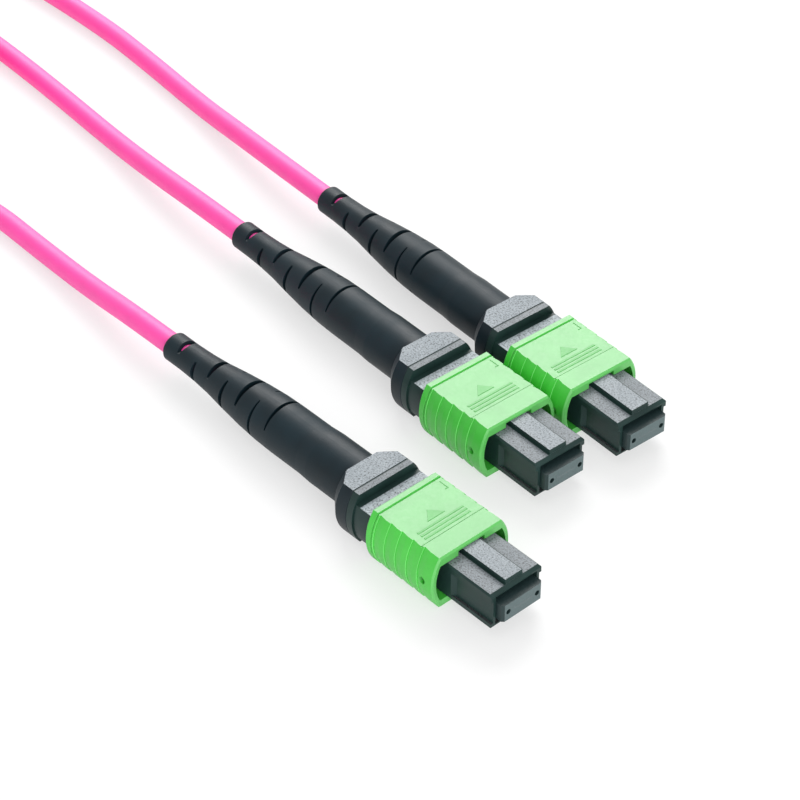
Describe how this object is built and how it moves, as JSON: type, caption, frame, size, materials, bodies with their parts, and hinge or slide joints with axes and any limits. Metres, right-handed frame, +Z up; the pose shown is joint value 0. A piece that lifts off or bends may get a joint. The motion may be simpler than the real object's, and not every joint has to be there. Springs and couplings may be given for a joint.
{
  "type": "mpo breakout cable",
  "caption": "Fibre-optic breakout cable: multi-fibre push-pull plugs with sliding green sleeves and slotted black boots on pink cords that meet in a splitter.",
  "frame": {"origin": "middle of the trunk plug's sleeve, on the surface it lies on", "axes": "+X the way the trunk plug is pushed in, +Y towards the branch plugs, +Z up"},
  "size_m": [0.2259, 0.0682, 0.0131],
  "materials": {
    "sleeve": "satin",
    "black_plastic": "satin",
    "ferrule_resin": "matte",
    "boot_rubber": "satin",
    "jacket": "satin",
    "soft_insert": "matte",
    "fibre": "gloss",
    "steel": "satin",
    "strap_weave": "matte"
  },
  "bodies": {
    "root": {"trunk_plug_housing": "black_plastic", "trunk_back_body": "black_plastic", "trunk_crimp_ring": "steel", "trunk_strain_boot": "boot_rubber", "trunk_jacket_end": "jacket", "trunk_ferrule_spring": "steel", "trunk_return_spring_left": "steel", "trunk_return_spring_right": "steel", "branch_1_plug_housing": "black_plastic", "branch_1_back_body": "black_plastic", "branch_1_crimp_ring": "steel", "branch_1_strain_boot": "boot_rubber", "branch_1_jacket_end": "jacket", "branch_1_ferrule_spring": "steel", "branch_1_return_spring_left": "steel", "branch_1_return_spring_right": "steel", "branch_2_plug_housing": "black_plastic", "branch_2_back_body": "black_plastic", "branch_2_crimp_ring": "steel", "branch_2_strain_boot": "boot_rubber", "branch_2_jacket_end": "jacket", "branch_2_ferrule_spring": "steel", "branch_2_return_spring_left": "steel", "branch_2_return_spring_right": "steel", "trunk_lead": "jacket", "trunk_tail": "jacket", "leg_1_lead": "jacket", "leg_1_tail": "jacket", "leg_2_lead": "jacket", "leg_2_tail": "jacket", "trunk_coil": "jacket", "leg_1_coil": "jacket", "leg_2_coil": "jacket", "trunk_coil_strap": "strap_weave", "leg_coil_strap": "strap_weave", "splitter_base": "black_plastic", "splitter_cover": "black_plastic", "splitter_trunk_gland": "boot_rubber", "splitter_leg_1_gland": "boot_rubber", "splitter_leg_2_gland": "boot_rubber"},
    "trunk_sleeve": {"trunk_coupling_sleeve": "sleeve"},
    "trunk_float": {"trunk_ferrule": "ferrule_resin", "trunk_ferrule_boot": "soft_insert", "trunk_pin_keeper": "steel", "trunk_fibre_ribbon": "fibre"},
    "branch_1_sleeve": {"branch_1_coupling_sleeve": "sleeve"},
    "branch_1_float": {"branch_1_ferrule": "ferrule_resin", "branch_1_ferrule_boot": "soft_insert", "branch_1_pin_keeper": "steel", "branch_1_fibre_ribbon": "fibre"},
    "branch_2_sleeve": {"branch_2_coupling_sleeve": "sleeve"},
    "branch_2_float": {"branch_2_ferrule": "ferrule_resin", "branch_2_ferrule_boot": "soft_insert", "branch_2_pin_keeper": "steel", "branch_2_fibre_ribbon": "fibre"}
  },
  "joints": [
    {"name": "trunk_sleeve_pull", "type": "slide", "parent": "root", "child": "trunk_sleeve", "axis": [-1, 0, 0], "range_m": [0, 0.002], "stiffness_N_per_m": 600, "deforming": ["trunk_return_spring_left", "trunk_return_spring_right"]},
    {"name": "trunk_ferrule_press", "type": "slide", "parent": "root", "child": "trunk_float", "axis": [-1, 0, 0], "range_m": [0, 0.0007], "stiffness_N_per_m": 800, "deforming": ["trunk_ferrule_spring"]},
    {"name": "branch_1_sleeve_pull", "type": "slide", "parent": "root", "child": "branch_1_sleeve", "axis": [-0.9994, 0.0356, 0], "range_m": [0, 0.002], "stiffness_N_per_m": 600, "deforming": ["branch_1_return_spring_left", "branch_1_return_spring_right"]},
    {"name": "branch_1_ferrule_press", "type": "slide", "parent": "root", "child": "branch_1_float", "axis": [-0.9994, 0.0356, 0], "range_m": [0, 0.0007], "stiffness_N_per_m": 800, "deforming": ["branch_1_ferrule_spring"]},
    {"name": "branch_2_sleeve_pull", "type": "slide", "parent": "root", "child": "branch_2_sleeve", "axis": [-0.9985, 0.055, 0], "range_m": [0, 0.002], "stiffness_N_per_m": 600, "deforming": ["branch_2_return_spring_left", "branch_2_return_spring_right"]},
    {"name": "branch_2_ferrule_press", "type": "slide", "parent": "root", "child": "branch_2_float", "axis": [-0.9985, 0.055, 0], "range_m": [0, 0.0007], "stiffness_N_per_m": 800, "deforming": ["branch_2_ferrule_spring"]}
  ]
}
